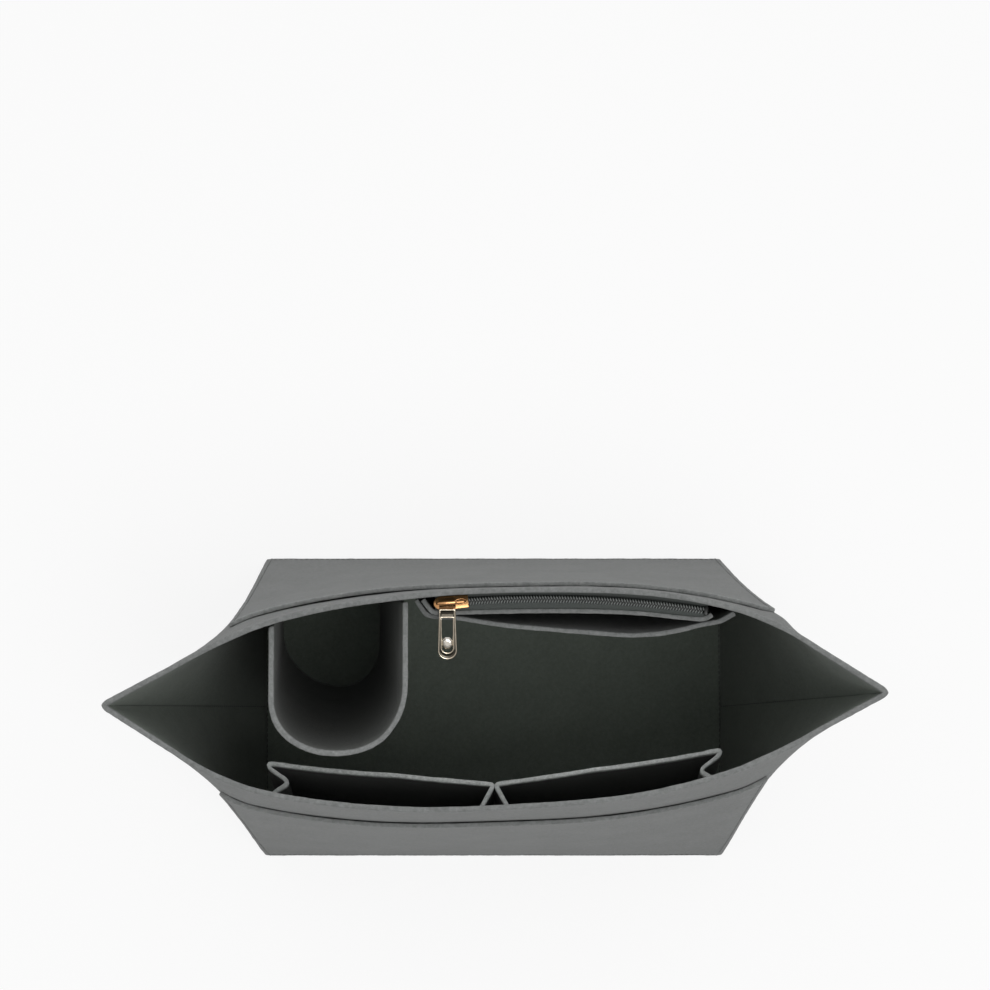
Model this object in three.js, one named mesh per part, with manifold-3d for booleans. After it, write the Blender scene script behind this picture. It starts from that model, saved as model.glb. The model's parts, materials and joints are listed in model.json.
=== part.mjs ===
// Felt organizer insert for a tote: two body panels sewn at the side seams, a base panel, outer slip
// pockets, a bottle pocket, pleated slip pockets and a zip pocket with its slider and pull.
// Millimetres, +Z up. The origin is the middle of the underside, +Y is the zip pocket's side.
import * as THREE from "three";
import { mergeVertices } from "three/addons/utils/BufferGeometryUtils.js";
import Module from "manifold-3d";

const wasm = await Module();
wasm.setup();

// Driving sizes of the body
const bodyHeight = 230;
const baseLength = 286;
const baseDepth = 179.2;
const tipToTip = 414;
const rimOpening = 115.8;
const rimShoulderSpan = 304;
const rimShoulderDepth = 69;
const rimRoundness = 2.9; // power of the rim's arch, a number without a unit
const shoulderSkew = 6; // the soft rim stands slightly twisted on its base
const tipSkew = 3.3;
const bodyFelt = 2.8;
const pocketFelt = 2.4;
const seamGap = 0.3;
const baseCornerRadius = 5;
const rimCornerRadius = 22;

// Outer slip pockets
const outerPocketBelowRim = 52;
const outerPocketHeight = bodyHeight - outerPocketBelowRim;
const outerPocketBaseSpan = 281;
const outerPocketMouthGap = 1.3;
const outerPocketFootGap = 0.39; // clears the wall at the pocket's sewn edges

// Bottle pocket, seen from above a U that leans with the wall
const bottleBelowRim = 10;
const bottleHeight = bodyHeight - bottleBelowRim;
const bottleFelt = 2.8;
const bottleTopWidth = 71.2;
const bottleBaseWidth = 68.4;
const bottleTopX = -83;
const bottleBaseX = -103.3;
const bottleDepth = 80.6;
const bottleRoundness = 2.2; // power of the curved front, a number without a unit

// Two pleated slip pockets on the front wall
const frontSlipBelowRim = 65;
const frontSlipHeight = bodyHeight - frontSlipBelowRim;
const frontSlipHalfSpan = 125;
const frontSlipDepth = 24.5;
const frontSlipMiddleDepth = 18.6;
const pleatWidth = 10.5;
const pleatTurn = 3;
const middleLegFoot = 10;
const middleLegGap = 2.2;

// Zip pocket and its zipper, which lies level between the wall and the pocket's panel
const zipPanelBelowRim = 21;
const zipPanelTop = bodyHeight - zipPanelBelowRim;
const zipPanelDrop = 149;
const zipPanelBottom = zipPanelTop - zipPanelDrop;
const zipPanelLeft = -38.5;
const zipPanelRight = 116.5;
const zipperBelowPanel = 1;
const zipperHeight = zipPanelTop - zipperBelowPanel;
const zipperFromWall = 5.5;
const chainLeft = -31;
const chainRight = 114;
const tapeThickness = 0.8;
const coilWidth = 1.6;
const coilHeight = 1.6;
const chainSlit = 1.2;
const stopLength = 2;

// Slider and pull
const sliderX = -23.4;
const sliderLength = 18.6;
const sliderWidth = 7.6;
const sliderTailWidth = 6.6;
const sliderNose = 5;
const sliderPlate = 1.3;
const sliderFlange = 0.8;
const sliderFlangeLength = 10;
const sliderPostPlay = 0.3;
const sliderPostLength = 3;
const sliderPostX = -5;
const bridgeLength = 16;
const bridgeWidth = 1.6;
const bridgeBar = 1.2;
const bridgeCorner = 1.4;
const pullShift = -2;
const pullRingWall = 0.9;
const pullRingClearance = 0.35;
const pullLength = 33;
const pullTabLength = 29.3;
const pullTopWidth = 8.8;
const pullWidth = 10.4;
const pullThickness = 1.3;
const pullSlotWidth = 5.8;
const pullSlotLength = 20;
const pullSlotRim = 4.1;
const pullStudLength = 7.6;
const pullStudX = 23;
const pullDroop = THREE.MathUtils.degToRad(25);
const sliderPost = chainSlit - 2 * sliderPostPlay;
const sliderPlay = 2.2; // between the slider and the zip pocket's panel
const zipPanelDepth = zipperFromWall + sliderWidth / 2 + sliderPlay + pocketFelt / 2;

// Slip pocket on the back wall, in front of the zip pocket
const backSlipBelowRim = 27;
const backSlipHeight = bodyHeight - backSlipBelowRim;
const backSlipLeft = -42.2;
const backSlipRight = 129;
const backSlipRoom = 11.3; // between the two panels where they are furthest apart
const backSlipDepth = zipPanelDepth + backSlipRoom;

const front = -1;
const back = 1;
const left = -1;
const right = 1;
const lerp = THREE.MathUtils.lerp;
const clamp = THREE.MathUtils.clamp;

const feltColour = 0x747675;
const felt = new THREE.MeshStandardMaterial({ color: feltColour, roughness: 0.95, metalness: 0 });
const innerFelt = new THREE.MeshStandardMaterial({ color: feltColour, roughness: 0.95, metalness: 0 });
const tapeCloth = new THREE.MeshStandardMaterial({ color: 0x565a58, roughness: 0.85, metalness: 0 });
const coilPlastic = new THREE.MeshStandardMaterial({ color: 0x3d403f, roughness: 0.5, metalness: 0 });
const gold = new THREE.MeshStandardMaterial({ color: 0xc9a265, roughness: 0.25, metalness: 1 });
const paleGold = new THREE.MeshStandardMaterial({ color: 0xd8cdb8, roughness: 0.2, metalness: 1 });

const organizer = new THREE.Group();

function addPiece(parent, name, geometry, material) {
  const mesh = new THREE.Mesh(geometry, material);
  mesh.name = name;
  parent.add(mesh);
  return mesh;
}

// A closed slab between two grids of points with the same rows and columns, its faces pointing out.
function slab(nearRows, farRows) {
  const rows = nearRows.length;
  const columns = nearRows[0].length;
  const positions = [...nearRows.flat(), ...farRows.flat()].flat();
  const near = (row, column) => row * columns + column;
  const far = (row, column) => (rows + row) * columns + column;
  const faces = [];
  const quad = (a, b, c, d) => faces.push(a, b, c, a, c, d);
  for (let r = 0; r + 1 < rows; r++) {
    for (let c = 0; c + 1 < columns; c++) {
      quad(near(r, c), near(r, c + 1), near(r + 1, c + 1), near(r + 1, c));
      quad(far(r, c), far(r + 1, c), far(r + 1, c + 1), far(r, c + 1));
    }
    const last = columns - 1;
    quad(near(r, 0), near(r + 1, 0), far(r + 1, 0), far(r, 0));
    quad(near(r, last), far(r, last), far(r + 1, last), near(r + 1, last));
  }
  for (let c = 0; c + 1 < columns; c++) {
    const top = rows - 1;
    quad(near(0, c), far(0, c), far(0, c + 1), near(0, c + 1));
    quad(near(top, c), near(top, c + 1), far(top, c + 1), far(top, c));
  }
  const geometry = new THREE.BufferGeometry();
  geometry.setAttribute("position", new THREE.Float32BufferAttribute(positions, 3));
  geometry.setIndex(signedVolume(positions, faces) < 0 ? faces.reverse() : faces);
  geometry.computeVertexNormals();
  return geometry;
}

function signedVolume(positions, faces) {
  const corner = (i) => new THREE.Vector3().fromArray(positions, faces[i] * 3);
  let volume = 0;
  for (let i = 0; i < faces.length; i += 3) {
    volume += corner(i).dot(corner(i + 1).cross(corner(i + 2)));
  }
  return volume;
}

// Moves each point of an open plan path sideways, to its left for a positive distance.
function offsetPath(path, distance) {
  const sharpest = 2;
  return path.map(([x, y], i) => {
    const before = i > 0 ? direction(path[i - 1], path[i]) : direction(path[0], path[1]);
    const after = i + 1 < path.length ? direction(path[i], path[i + 1]) : before;
    const across = new THREE.Vector2(-before.y - after.y, before.x + after.x).normalize();
    const spread = Math.max(across.dot(new THREE.Vector2(-before.y, before.x)), 1 / sharpest);
    return [x + (across.x * distance) / spread, y + (across.y * distance) / spread];
  });
}

function direction(from, to) {
  return new THREE.Vector2(to[0] - from[0], to[1] - from[1]).normalize();
}

// Half the length of a long face at a height, from the middle to the corner crease.
function faceHalfLength(z) {
  return lerp(baseLength / 2, rimShoulderSpan / 2, z / bodyHeight);
}

// How far out a long face's outer side is, at a place x along it and a height.
function outerFaceY(x, z, side) {
  const rise = z / bodyHeight;
  const along = clamp(x / faceHalfLength(z), -1, 1);
  const arch = (rimOpening - (rimOpening - rimShoulderDepth) * Math.abs(along) ** rimRoundness) / 2;
  return side * lerp(baseDepth / 2, arch, rise) + shoulderSkew * along * rise;
}

function innerFaceY(x, z, side) {
  const step = bodyFelt;
  const slope = (outerFaceY(x + step, z, side) - outerFaceY(x - step, z, side)) / (2 * step);
  return outerFaceY(x, z, side) - side * bodyFelt * Math.hypot(1, slope);
}

// A point at a distance inwards from a long wall's inner side.
function offWall(x, distance, z, side) {
  return [x, innerFaceY(x, z, side) - side * distance, z];
}

// Outer side of a body panel at a height, from the left side seam round to the right one.
function panelPath(side, z) {
  const rise = z / bodyHeight;
  const radius = lerp(baseCornerRadius, rimCornerRadius, rise);
  const crease = faceHalfLength(z);
  const faceSteps = 22;
  const cornerSteps = 5;
  const gussetSteps = 4;
  const endOf = (end) => {
    const seam = [end * lerp(baseLength, tipToTip, rise) / 2, end * tipSkew * rise];
    const shoulder = [end * crease, outerFaceY(end * crease, z, side)];
    const gussetLength = Math.hypot(seam[0] - shoulder[0], seam[1] - shoulder[1]);
    const onGusset = (share) => [lerp(shoulder[0], seam[0], share), lerp(shoulder[1], seam[1], share)];
    const faceEnd = end * (crease - radius);
    const turn = new THREE.QuadraticBezierCurve(
      new THREE.Vector2(...onGusset(radius / gussetLength)),
      new THREE.Vector2(...shoulder),
      new THREE.Vector2(faceEnd, outerFaceY(faceEnd, z, side)),
    );
    const points = [];
    for (let i = 0; i < gussetSteps; i++) {
      points.push(onGusset(lerp(1, radius / gussetLength, i / gussetSteps)));
    }
    for (const point of turn.getPoints(cornerSteps)) {
      points.push(point.toArray());
    }
    return points;
  };
  const face = [];
  for (let i = 1; i < faceSteps; i++) {
    const x = lerp(-1, 1, i / faceSteps) * (crease - radius);
    face.push([x, outerFaceY(x, z, side)]);
  }
  return [...endOf(left), ...face, ...endOf(right).reverse()];
}

// The panel's path moved inwards, with its two ends kept on the side seams.
function insetPanelPath(side, z, distance) {
  const outer = panelPath(side, z);
  const inner = offsetPath(outer, -side * distance);
  const seamAt = (end, path) => {
    const [tip, next] = end === left ? [path[0], path[1]] : [path.at(-1), path.at(-2)];
    const along = direction(tip, next);
    return [tip[0] - (end * distance) / Math.abs(along.y), tip[1]];
  };
  inner[0] = seamAt(left, outer);
  inner[inner.length - 1] = seamAt(right, outer);
  return inner;
}

function clearOfSeam(path, side) {
  return path.map(([x, y], i) => (i % (path.length - 1) === 0 ? [x, y + (side * seamGap) / 2] : [x, y]));
}

function heights(low, high, count) {
  return Array.from({ length: count + 1 }, (_, i) => lerp(low, high, i / count));
}

function lifted(path, z) {
  return path.map(([x, y]) => [x, y, z]);
}

function bodyPanel(side) {
  const levels = heights(0, bodyHeight, 8);
  const outer = levels.map((z) => lifted(clearOfSeam(panelPath(side, z), side), z));
  const inner = levels.map((z) => lifted(clearOfSeam(insetPanelPath(side, z, bodyFelt), side), z));
  return slab(outer, inner);
}

// The base panel fills the foot of the walls, a seam gap inside them.
function basePanel() {
  const ring = (z) => {
    const inset = bodyFelt + seamGap;
    const ahead = insetPanelPath(front, z, inset);
    const behind = insetPanelPath(back, z, inset);
    return { ahead: lifted(ahead, z), behind: lifted(behind, z) };
  };
  const low = ring(0);
  const high = ring(bodyFelt);
  return slab([low.ahead, low.behind], [high.ahead, high.behind]);
}

// A strip of felt that stands on edge along a plan path given as places x and distances off the wall.
function standingStrip(side, thickness, levels, pathAt) {
  const faceOf = (shift) =>
    levels.map((z) => offsetPath(pathAt(z), shift).map(([x, distance]) => offWall(x, distance, z, side)));
  return slab(faceOf(thickness / 2), faceOf(-thickness / 2));
}

function outerPocket(side) {
  const wayOut = -(bodyFelt + outerPocketFootGap + pocketFelt / 2);
  const steps = 22;
  const levels = heights(0, outerPocketHeight, 8);
  return standingStrip(side, pocketFelt, levels, (z) => {
    const rise = z / outerPocketHeight;
    const halfSpan = faceHalfLength(z) - (baseLength - outerPocketBaseSpan) / 2;
    return heights(-1, 1, steps).map((along) => {
      const bow = outerPocketMouthGap * rise ** 2 * (1 - along ** 4);
      return [along * halfSpan, wayOut - bow];
    });
  });
}

// The bottle pocket's U: straight sides from the wall, then a front rounded as a superellipse.
function bottlePocket() {
  const wallEnd = seamGap + bottleFelt / 2;
  const turnSteps = 16;
  const levels = heights(floorTop, bottleHeight, 8);
  return standingStrip(back, bottleFelt, levels, (z) => {
    const rise = (z - floorTop) / (bottleHeight - floorTop);
    const half = lerp(bottleBaseWidth, bottleTopWidth, rise) / 2;
    const middle = lerp(bottleBaseX, bottleTopX, rise);
    const turnDepth = bottleTopWidth / 2;
    const turnStart = bottleDepth - turnDepth;
    const points = [[middle - half, wallEnd], [middle - half, (wallEnd + turnStart) / 2]];
    for (let i = 0; i <= turnSteps; i++) {
      const angle = Math.PI * (1 - i / turnSteps);
      const across = Math.abs(Math.cos(angle)) ** (2 / bottleRoundness);
      const out = Math.max(Math.sin(angle), 0) ** (2 / bottleRoundness);
      points.push([middle + half * Math.sign(Math.cos(angle)) * across, turnStart + turnDepth * out]);
    }
    points.push([middle + half, (wallEnd + turnStart) / 2], [middle + half, wallEnd]);
    return points;
  });
}

// A pleated slip pocket, from its Z pleat at the outer end to the leg that meets its twin in the middle.
// Each place has its x, its distance off the wall at the floor and its distance at the mouth.
function frontSlipPocket(end) {
  const layers = [wallLayer, wallLayer + pleatTurn, wallLayer + 2 * pleatTurn];
  const pleatFold = frontSlipHalfSpan - pleatWidth;
  const pleatShares = [0.4, 0.55, 0.65, 0.86, 0.97]; // of the pocket's depth, where the pleat's folds stand
  const panelShares = [0.986, 1, 0.99, 0.89]; // of the pocket's depth, along the panel
  const panelPlaceShares = [0.87, 0.68, 0.44, 0.24]; // of the pocket's half span
  const places = [
    [frontSlipHalfSpan + pocketFelt, layers[0], layers[0]],
    [(frontSlipHalfSpan + pleatFold) / 2, layers[0], frontSlipDepth * pleatShares[0]],
    [pleatFold, layers[0], frontSlipDepth * pleatShares[1]],
    [pleatFold, layers[1], frontSlipDepth * pleatShares[2]],
    [frontSlipHalfSpan, layers[1], frontSlipDepth * pleatShares[3]],
    [frontSlipHalfSpan, layers[2], frontSlipDepth * pleatShares[4]],
    ...panelShares.map((share, i) => [
      frontSlipHalfSpan * panelPlaceShares[i],
      layers[2],
      frontSlipDepth * share,
    ]),
    [middleLegGap, layers[2], frontSlipMiddleDepth],
    [middleLegGap, layers[2] - pocketFelt / 2, frontSlipMiddleDepth - pocketFelt],
    [middleLegFoot, layers[0], layers[0]],
  ];
  const levels = heights(floorTop, frontSlipHeight, 8);
  return standingStrip(front, pocketFelt, levels, (z) => {
    const rise = (z - floorTop) / (frontSlipHeight - floorTop);
    return places.map(([x, low, high]) => [end * x, lerp(low, high, rise)]);
  });
}

// A pocket panel that bows off the back wall between two ends sewn to it, as a plan path at a height.
// Its shares are places along the span and parts of the greatest depth.
function bowedPath(panel, z) {
  const rise = (z - panel.low) / (panel.high - panel.low);
  const knots = panel.shares.map(([along, out], i) => {
    const foot = i === 0 || i === panel.shares.length - 1 ? wallLayer : panel.footLayer;
    const distance = lerp(foot, Math.max(wallLayer, panel.depth * out), rise);
    return new THREE.Vector2(lerp(panel.left, panel.right, along), distance);
  });
  return new THREE.SplineCurve(knots).getPoints(panel.steps).map((point) => point.toArray());
}

function bowedPanel(panel) {
  const levels = heights(panel.low, panel.high, 8);
  return standingStrip(back, pocketFelt, levels, (z) => bowedPath(panel, z));
}

// How far a bowed panel's inner side stands off the wall at a place x and a height.
function innerSideAt(panel, x, z) {
  const path = offsetPath(bowedPath(panel, z), -pocketFelt / 2);
  const next = Math.max(1, path.findIndex(([place]) => place >= x));
  const [before, after] = [path[next - 1], path[next]];
  return lerp(before[1], after[1], (x - before[0]) / (after[0] - before[0]));
}

// The zipper's line in plan: the arc through three places at one distance off the wall. The slider
// follows it by turning about the arc's far centre.
const zipperArc = arcThrough(
  [chainLeft, (chainLeft + chainRight) / 2, chainRight].map((x) => {
    return new THREE.Vector2(...offWall(x, zipperFromWall, zipperHeight, back).slice(0, 2));
  }),
);

function arcThrough([start, middle, end]) {
  const first = middle.clone().sub(start);
  const second = end.clone().sub(start);
  const spread = 2 * first.cross(second);
  const x = (second.y * first.lengthSq() - first.y * second.lengthSq()) / spread;
  const y = (first.x * second.lengthSq() - second.x * first.lengthSq()) / spread;
  return { x: start.x + x, y: start.y + y, radius: Math.hypot(x, y) };
}

function zipperPoint(x, outwards) {
  const turn = Math.asin((x - zipperArc.x) / zipperArc.radius);
  const radius = zipperArc.radius + outwards;
  return [zipperArc.x + radius * Math.sin(turn), zipperArc.y + radius * Math.cos(turn)];
}

// A flat bar along the zipper between two plan edges, each given for a place x.
function alongZipper(from, to, low, high, steps, nearEdge, farEdge) {
  const places = heights(from, to, steps);
  const edges = [nearEdge, farEdge].map((edge) => {
    const path = places.map(edge);
    return [lifted(path, low), lifted(path, high)];
  });
  return slab(edges[0], edges[1]);
}

function zipperTape(side) {
  const low = zipperHeight - tapeThickness / 2;
  const high = zipperHeight + tapeThickness / 2;
  const slitEdge = (x) => zipperPoint(x, (side * chainSlit) / 2);
  const sewnEdge = (x) => {
    const distance = side === back ? 2 * seamGap : innerSideAt(zipPanel, x, zipperHeight) - seamGap;
    return offWall(x, distance, zipperHeight, back).slice(0, 2);
  };
  return alongZipper(chainLeft, chainRight, low, high, 30, slitEdge, sewnEdge);
}

const coilBase = zipperHeight + tapeThickness / 2 + seamGap;
const coilTop = coilBase + coilHeight;

function zipperCoil(side) {
  const inner = (x) => zipperPoint(x, (side * chainSlit) / 2);
  const outer = (x) => zipperPoint(x, side * (chainSlit / 2 + coilWidth));
  const end = chainRight - stopLength - seamGap;
  return alongZipper(chainLeft, end, coilBase, coilTop, 30, inner, outer);
}

function zipperEndStop() {
  const half = chainSlit / 2 + coilWidth;
  const inner = (x) => zipperPoint(x, -half);
  const outer = (x) => zipperPoint(x, half);
  return alongZipper(chainRight - stopLength, chainRight, coilBase, coilTop, 1, inner, outer);
}

// Joins and cuts closed geometries; the result has the first one's place.
function asSolid(geometry) {
  const bare = new THREE.BufferGeometry();
  bare.setAttribute("position", geometry.getAttribute("position"));
  bare.setIndex(geometry.index);
  const merged = mergeVertices(bare);
  const mesh = new wasm.Mesh({
    numProp: 3,
    vertProperties: new Float32Array(merged.getAttribute("position").array),
    triVerts: new Uint32Array(merged.index.array),
  });
  return new wasm.Manifold(mesh);
}

function asGeometry(solid) {
  const mesh = solid.getMesh();
  const geometry = new THREE.BufferGeometry();
  geometry.setAttribute("position", new THREE.BufferAttribute(mesh.vertProperties, 3));
  geometry.setIndex(new THREE.BufferAttribute(mesh.triVerts, 1));
  geometry.computeVertexNormals();
  return geometry;
}

function box(sizeX, sizeY, low, high, x = 0, y = 0) {
  return new THREE.BoxGeometry(sizeX, sizeY, high - low).translate(x, y, (low + high) / 2);
}

// Heights on the slider, from the middle of the tape's thickness.
const plateUnder = coilTop + seamGap - zipperHeight;
const plateTop = plateUnder + sliderPlate;
const floorPlateTop = -(tapeThickness / 2 + seamGap);
const ringBore = Math.hypot(bridgeWidth, bridgeBar) / 2 + pullRingClearance;
const ringRadius = ringBore + pullRingWall;
const hingeRise = plateTop + seamGap + ringRadius;

// The slider's plates seen from above: a rounded nose at the open end and a narrower tail.
function sliderPlateAt(low, high) {
  const outline = new THREE.Shape();
  const noseX = sliderNose - sliderLength / 2;
  outline.moveTo(sliderLength / 2, -sliderTailWidth / 2);
  outline.lineTo(sliderLength / 2, sliderTailWidth / 2);
  outline.lineTo(noseX, sliderWidth / 2);
  outline.absellipse(noseX, 0, sliderNose, sliderWidth / 2, Math.PI / 2, (3 * Math.PI) / 2, false, 0);
  outline.closePath();
  const settings = { depth: high - low, bevelEnabled: false, curveSegments: 10 };
  return new THREE.ExtrudeGeometry(outline, settings).translate(0, 0, low);
}

function sliderBody() {
  const flangeLow = tapeThickness / 2 + seamGap;
  let body = asSolid(sliderPlateAt(plateUnder, plateTop));
  body = body.add(asSolid(sliderPlateAt(floorPlateTop - sliderPlate, floorPlateTop)));
  const postOverlap = sliderPlate / 2;
  const post = box(
    sliderPostLength, sliderPost, floorPlateTop - postOverlap, plateUnder + postOverlap, sliderPostX,
  );
  body = body.add(asSolid(post));
  for (const side of [front, back]) {
    const y = (side * (sliderTailWidth - sliderFlange)) / 2;
    const flange = box(sliderFlangeLength, sliderFlange, flangeLow, plateUnder + sliderPlate / 2, 0, y);
    body = body.add(asSolid(flange));
  }
  return asGeometry(body);
}

// The bridge stands on the slider and its bar is the axle that the pull swings on.
function sliderBridge() {
  const low = plateTop + seamGap;
  const barLow = hingeRise - bridgeBar / 2;
  const barHigh = hingeRise + bridgeBar / 2;
  const half = bridgeLength / 2;
  const inner = half - bridgeWidth;
  const outline = new THREE.Shape();
  outline.moveTo(-half, low);
  outline.lineTo(-inner, low);
  outline.lineTo(-inner, barLow);
  outline.lineTo(inner, barLow);
  outline.lineTo(inner, low);
  outline.lineTo(half, low);
  outline.lineTo(half, barHigh - bridgeCorner);
  outline.quadraticCurveTo(half, barHigh, half - bridgeCorner, barHigh);
  outline.lineTo(bridgeCorner - half, barHigh);
  outline.quadraticCurveTo(-half, barHigh, -half, barHigh - bridgeCorner);
  outline.closePath();
  const settings = { depth: bridgeWidth, bevelEnabled: false, curveSegments: 4 };
  const bridge = new THREE.ExtrudeGeometry(outline, settings);
  return bridge.rotateX(Math.PI / 2).translate(0, bridgeWidth / 2, 0);
}

// The pull's head: a ring round the bridge's bar with a short tongue that the tab is fixed to.
function pullLink() {
  const disc = (radius, length) => {
    return new THREE.CylinderGeometry(radius, radius, length, 20).rotateZ(Math.PI / 2);
  };
  const tongueStart = ringBore + pullRingWall / 2;
  const tongueEnd = pullLength - pullTabLength - seamGap;
  const tongue = box(
    pullTopWidth, tongueEnd - tongueStart, -pullThickness / 2, pullThickness / 2,
    0, -(tongueStart + tongueEnd) / 2,
  );
  const ring = asSolid(disc(ringRadius, pullTopWidth)).add(asSolid(tongue));
  return asGeometry(ring.subtract(asSolid(disc(ringBore, pullTopWidth + 2 * seamGap))));
}

function pullTab() {
  const top = -(pullLength - pullTabLength);
  const round = pullWidth / 2;
  const outline = new THREE.Shape();
  outline.moveTo(-pullTopWidth / 2, top);
  outline.lineTo(-round, round - pullLength);
  outline.absarc(0, round - pullLength, round, Math.PI, 2 * Math.PI, false);
  outline.lineTo(pullTopWidth / 2, top);
  outline.closePath();
  const slot = new THREE.Path();
  const slotRound = pullSlotWidth / 2;
  const slotLow = pullSlotRim - pullLength;
  slot.moveTo(-slotRound, slotLow + pullSlotLength);
  slot.lineTo(-slotRound, slotLow + slotRound);
  slot.absarc(0, slotLow + slotRound, slotRound, Math.PI, 2 * Math.PI, false);
  slot.lineTo(slotRound, slotLow + pullSlotLength);
  slot.closePath();
  outline.holes.push(slot);
  const settings = { depth: pullThickness, bevelEnabled: false, curveSegments: 12 };
  return new THREE.ExtrudeGeometry(outline, settings).translate(0, 0, -pullThickness / 2);
}

// A plain six-sided stud that fills the lower part of the tab's slot.
function pullStud() {
  const sides = 6;
  const across = pullSlotWidth - 2 * seamGap;
  const crownShare = 0.62; // of the stud's half width, its flat top
  const stud = new THREE.CylinderGeometry(crownShare / 2, 0.5, 1, sides, 1);
  const flatToFlatShare = Math.cos(Math.PI / sides);
  stud.rotateX(Math.PI / 2).scale(across / flatToFlatShare, pullStudLength, pullThickness + sliderPlate);
  return stud.translate(0, -pullStudX, 0);
}

const floorTop = bodyFelt + seamGap;
const wallLayer = seamGap + pocketFelt / 2;
const zipPanel = {
  low: zipPanelBottom,
  high: zipPanelTop,
  footLayer: wallLayer,
  left: zipPanelLeft,
  right: zipPanelRight,
  depth: zipPanelDepth,
  steps: 28,
  shares: [
    [0, 0], [0.014, 0.48], [0.034, 0.84], [0.061, 0.925], [0.14, 0.985],
    [0.48, 1], [0.75, 0.97], [0.89, 0.93], [0.965, 0.84], [1, 0.66],
  ],
};
const backSlip = {
  low: floorTop,
  high: backSlipHeight,
  footLayer: wallLayer + pocketFelt + seamGap,
  left: backSlipLeft,
  right: backSlipRight,
  depth: backSlipDepth,
  steps: 34,
  shares: [
    [0, 0], [0.014, 0.28], [0.035, 0.53], [0.071, 0.6], [0.124, 0.635], [0.31, 0.84],
    [0.61, 1], [0.737, 0.94], [0.86, 0.72], [0.927, 0.61], [0.968, 0.36], [1, 0],
  ],
};

addPiece(organizer, "base_panel", basePanel(), innerFelt);
addPiece(organizer, "front_body_panel", bodyPanel(front), felt);
addPiece(organizer, "back_body_panel", bodyPanel(back), felt);
addPiece(organizer, "front_outer_pocket", outerPocket(front), felt);
addPiece(organizer, "back_outer_pocket", outerPocket(back), felt);
addPiece(organizer, "bottle_pocket", bottlePocket(), innerFelt);
addPiece(organizer, "front_left_slip_pocket", frontSlipPocket(left), innerFelt);
addPiece(organizer, "front_right_slip_pocket", frontSlipPocket(right), innerFelt);
addPiece(organizer, "back_slip_pocket", bowedPanel(backSlip), innerFelt);
addPiece(organizer, "zip_pocket_panel", bowedPanel(zipPanel), innerFelt);

addPiece(organizer, "zipper_tape_front", zipperTape(front), tapeCloth);
addPiece(organizer, "zipper_tape_back", zipperTape(back), tapeCloth);
addPiece(organizer, "zipper_coil_front", zipperCoil(front), coilPlastic);
addPiece(organizer, "zipper_coil_back", zipperCoil(back), coilPlastic);
addPiece(organizer, "zipper_end_stop", zipperEndStop(), coilPlastic);

// The slider turns about the far centre of the zipper's arc, and the pull turns about the bridge's bar.
const sliderTurn = new THREE.Group();
sliderTurn.position.set(zipperArc.x, zipperArc.y, zipperHeight);
sliderTurn.rotation.z = -Math.asin((sliderX - zipperArc.x) / zipperArc.radius);
organizer.add(sliderTurn);
const slider = new THREE.Group();
slider.position.y = zipperArc.radius;
sliderTurn.add(slider);
addPiece(slider, "slider_body", sliderBody(), gold);
addPiece(slider, "slider_bridge", sliderBridge(), gold);

const pull = new THREE.Group();
pull.position.set(pullShift, 0, hingeRise);
pull.rotation.x = pullDroop;
slider.add(pull);
addPiece(pull, "pull_link", pullLink(), gold);
addPiece(pull, "pull_tab", pullTab(), paleGold);
addPiece(pull, "pull_stud", pullStud(), paleGold);

export default organizer;
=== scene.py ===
# A grey purse organizer insert, sewn from cut felt, with a zip pocket on its back wall.
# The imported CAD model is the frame, and each felt piece is made again on it, finer and softer.
# Sizes are in millimetres, and mm turns them into the frame's metres.
import json
import math

import bmesh
import bpy
import numpy as np
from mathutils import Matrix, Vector, noise


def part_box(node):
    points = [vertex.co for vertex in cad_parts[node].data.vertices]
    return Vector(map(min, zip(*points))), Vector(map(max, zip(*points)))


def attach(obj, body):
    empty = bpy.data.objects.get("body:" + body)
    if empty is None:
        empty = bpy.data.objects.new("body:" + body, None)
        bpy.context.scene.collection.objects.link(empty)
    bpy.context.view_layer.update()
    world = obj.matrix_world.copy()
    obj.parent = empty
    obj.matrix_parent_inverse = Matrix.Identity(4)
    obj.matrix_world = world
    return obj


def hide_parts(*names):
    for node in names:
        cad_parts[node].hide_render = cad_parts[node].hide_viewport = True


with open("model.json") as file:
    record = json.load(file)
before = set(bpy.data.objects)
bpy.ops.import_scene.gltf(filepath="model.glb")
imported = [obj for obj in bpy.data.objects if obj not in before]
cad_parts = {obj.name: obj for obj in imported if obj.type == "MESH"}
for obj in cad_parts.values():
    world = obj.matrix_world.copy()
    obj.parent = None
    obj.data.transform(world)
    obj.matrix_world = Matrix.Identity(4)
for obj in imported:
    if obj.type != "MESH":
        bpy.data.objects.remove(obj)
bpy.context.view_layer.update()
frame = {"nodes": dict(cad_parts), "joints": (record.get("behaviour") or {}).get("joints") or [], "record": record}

# The view. The eye is a metre and a half above the table, a little in front of the insert's middle, so
# both long faces and the whole inside are seen at once. It leans three degrees towards the zip pocket.
mm = 0.001
picture_width = 990
sensor_width = 36
eye = Vector((-5.1, -25.7, 1500)) * mm
lean = math.radians(3)
sight = 20000

# In pixels of the picture: the point straight below the eye, and the reach of a slope of one.
point_below_eye = (485.2, 748)
pixels_per_slope = 2416.5

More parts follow.
